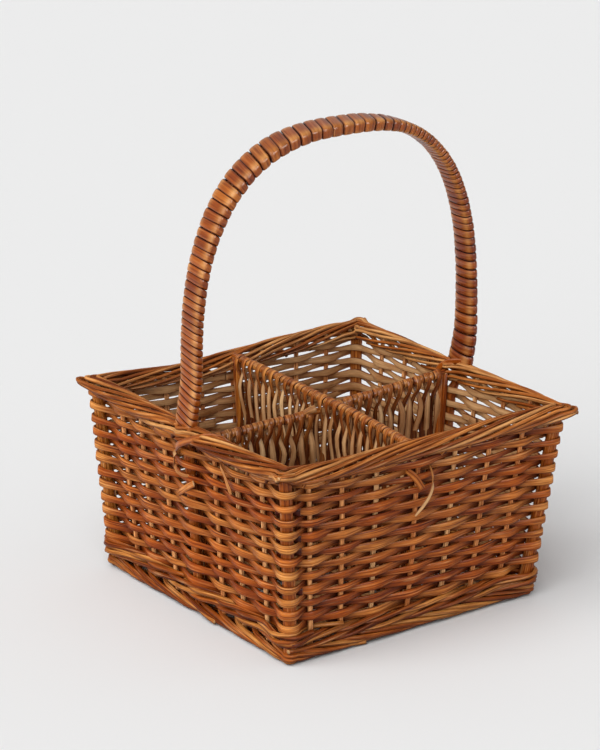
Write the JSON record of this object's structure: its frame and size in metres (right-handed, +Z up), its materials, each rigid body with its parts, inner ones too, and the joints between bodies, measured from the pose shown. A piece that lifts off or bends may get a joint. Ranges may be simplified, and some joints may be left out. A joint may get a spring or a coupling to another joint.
{
  "type": "woven willow basket",
  "caption": "Rectangular woven willow basket with flared walls, crossed dividers making compartments, and a fixed arched handle wrapped with split skein.",
  "frame": {"origin": "middle of the underside, on the surface the basket stands on", "axes": "+Z up, X along the handle's span, Y along the slightly longer side, front wall at -Y"},
  "size_m": [0.2438, 0.25, 0.3306],
  "materials": {
    "post_willow": "varnished brown willow bark",
    "stake_willow": "varnished tan willow",
    "weaver_willow": "split brown willow, rounded bark side out, pale pith side in",
    "border_willow": "varnished brown willow rod",
    "handle_skein": "glossy varnished willow skein",
    "divider_skein": "split willow, brown bark and pale pith"
  },
  "bodies": {
    "root": {"border_rod_1": "border_willow", "border_rod_2": "border_willow", "border_rod_3": "border_willow", "border_rod_4": "border_willow", "corner_post_back_left": "post_willow", "corner_post_back_right": "post_willow", "corner_post_front_left": "post_willow", "corner_post_front_right": "post_willow", "divider_left_middle_rail": "post_willow", "divider_left_strand": "divider_skein", "divider_left_top_rail": "post_willow", "divider_long_middle_rail": "post_willow", "divider_long_strand": "divider_skein", "divider_long_top_rail": "post_willow", "divider_right_middle_rail": "post_willow", "divider_right_strand": "divider_skein", "divider_right_top_rail": "post_willow", "floor_stick_1": "stake_willow", "floor_stick_2": "stake_willow", "floor_stick_3": "stake_willow", "floor_stick_4": "stake_willow", "floor_weaver": "weaver_willow", "foot_ring": "border_willow", "handle_core": "post_willow", "handle_tie_left": "handle_skein", "handle_tie_right": "handle_skein", "handle_wrap": "handle_skein", "stake_back_1": "stake_willow", "stake_back_2": "stake_willow", "stake_back_3": "stake_willow", "stake_back_4": "stake_willow", "stake_back_5": "stake_willow", "stake_back_6": "stake_willow", "stake_back_7": "stake_willow", "stake_front_1": "stake_willow", "stake_front_2": "stake_willow", "stake_front_3": "stake_willow", "stake_front_4": "stake_willow", "stake_front_5": "stake_willow", "stake_front_6": "stake_willow", "stake_front_7": "stake_willow", "stake_left_1": "stake_willow", "stake_left_2": "stake_willow", "stake_left_3": "stake_willow", "stake_left_5": "stake_willow", "stake_left_6": "stake_willow", "stake_left_7": "stake_willow", "stake_right_1": "stake_willow", "stake_right_2": "stake_willow", "stake_right_3": "stake_willow", "stake_right_5": "stake_willow", "stake_right_6": "stake_willow", "stake_right_7": "stake_willow", "wale_rod_1": "weaver_willow", "wale_rod_2": "weaver_willow", "weaver_a1": "weaver_willow", "weaver_a2": "weaver_willow", "weaver_b1": "weaver_willow", "weaver_b2": "weaver_willow"}
  },
  "joints": []
}
